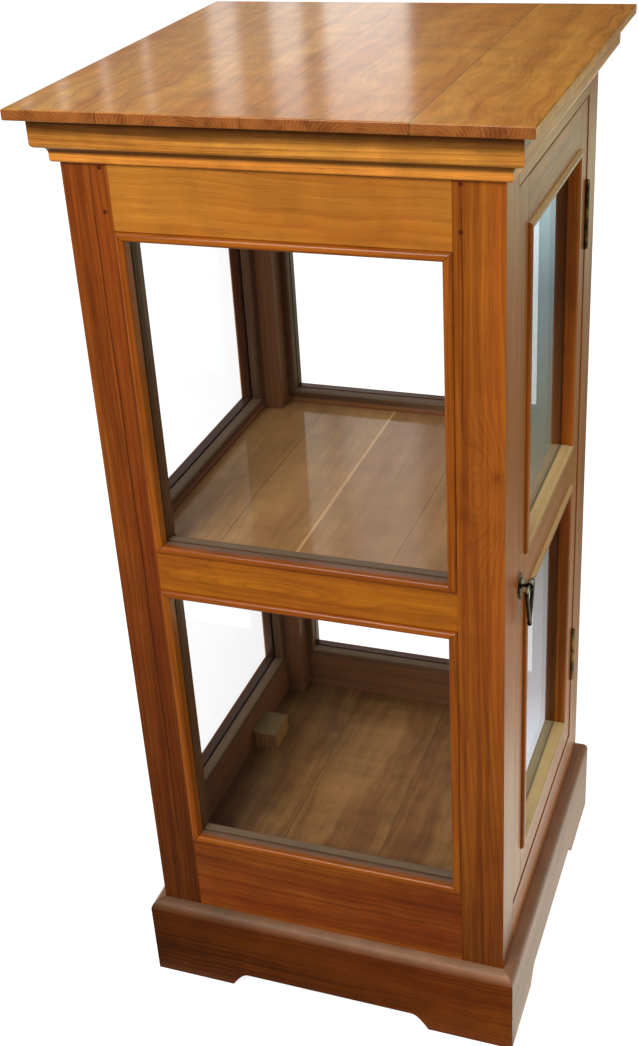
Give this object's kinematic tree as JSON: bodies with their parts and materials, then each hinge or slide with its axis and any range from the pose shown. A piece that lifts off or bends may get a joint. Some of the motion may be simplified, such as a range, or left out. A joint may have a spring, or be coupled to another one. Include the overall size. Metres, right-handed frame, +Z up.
{
  "type": "display cabinet",
  "caption": "Upright glazed wooden display cabinet with a moulded cornice, a bracket plinth, an inner shelf and a hinged glazed side door with a drop pull.",
  "frame": {"origin": "On the floor at the middle of the plan.", "axes": "X to the right seen from the front, with the door on the +X side; Y to the back, so the front faces -Y; Z up."},
  "size_m": [0.506, 0.516, 1.123],
  "materials": {
    "frame_teak": "semi-gloss oiled teak",
    "door_teak": "semi-gloss oiled teak",
    "cornice_teak": "semi-gloss oiled teak",
    "plinth_teak": "dark semi-gloss oiled teak",
    "bead_teak": "semi-gloss oiled teak",
    "inner_teak": "dull oiled teak",
    "top_teak": "polished oiled teak",
    "block_wood": "plain sanded",
    "peg_wood": "dark oiled",
    "glass": "clear",
    "aged_brass": "aged, dark in places",
    "dark_bronze": "dark patina",
    "catch_brown": "matte",
    "strike_steel": "zinc plated"
  },
  "bodies": {
    "case": {"top_board": "top_teak", "cornice_front": "cornice_teak", "cornice_back": "cornice_teak", "cornice_left": "cornice_teak", "cornice_right": "cornice_teak", "post_front_left": "frame_teak", "post_front_right": "frame_teak", "post_back_left": "frame_teak", "post_back_right": "frame_teak", "front_top_rail": "frame_teak", "front_mid_rail": "frame_teak", "front_bottom_rail": "frame_teak", "back_top_rail": "frame_teak", "back_mid_rail": "frame_teak", "back_bottom_rail": "frame_teak", "left_top_rail": "frame_teak", "left_mid_rail": "frame_teak", "left_bottom_rail": "frame_teak", "door_header": "frame_teak", "door_sill_rail": "frame_teak", "plinth_front": "plinth_teak", "plinth_back": "plinth_teak", "plinth_left": "plinth_teak", "plinth_right": "plinth_teak", "glass_front_upper": "glass", "glass_front_lower": "glass", "glass_back_upper": "glass", "glass_back_lower": "glass", "glass_left_upper": "glass", "glass_left_lower": "glass", "front_outer_beads": "bead_teak", "back_outer_beads": "bead_teak", "left_outer_beads": "bead_teak", "case_inner_beads": "inner_teak", "shelf_board": "inner_teak", "floor_board": "inner_teak", "board_cleats": "inner_teak", "floor_block": "block_wood", "upper_hinge_case_leaf": "aged_brass", "lower_hinge_case_leaf": "aged_brass", "hinge_pins": "aged_brass", "hinge_screws_case": "aged_brass", "magnetic_catch": "catch_brown", "tenon_pegs": "peg_wood"},
    "door": {"door_lock_stile": "door_teak", "door_hinge_stile": "door_teak", "door_top_rail": "door_teak", "door_mid_rail": "door_teak", "door_bottom_rail": "door_teak", "glass_door_upper": "glass", "glass_door_lower": "glass", "door_outer_beads": "bead_teak", "door_inner_beads": "inner_teak", "upper_hinge_door_leaf": "aged_brass", "lower_hinge_door_leaf": "aged_brass", "hinge_screws_door": "aged_brass", "pull_back_plate": "dark_bronze", "pull_stud": "dark_bronze", "catch_strike": "strike_steel"},
    "ring": {"pull_ring": "dark_bronze"}
  },
  "joints": [
    {"name": "door_hinge", "type": "hinge", "parent": "case", "child": "door", "pos_m": [0.22, 0.169, 0.608], "axis": [0, 0, 1], "range_deg": [0, 165]},
    {"name": "pull_swing", "type": "hinge", "parent": "door", "child": "ring", "pos_m": [0.23, -0.1475, 0.609], "axis": [0, -1, 0], "range_deg": [-8, 188]}
  ]
}
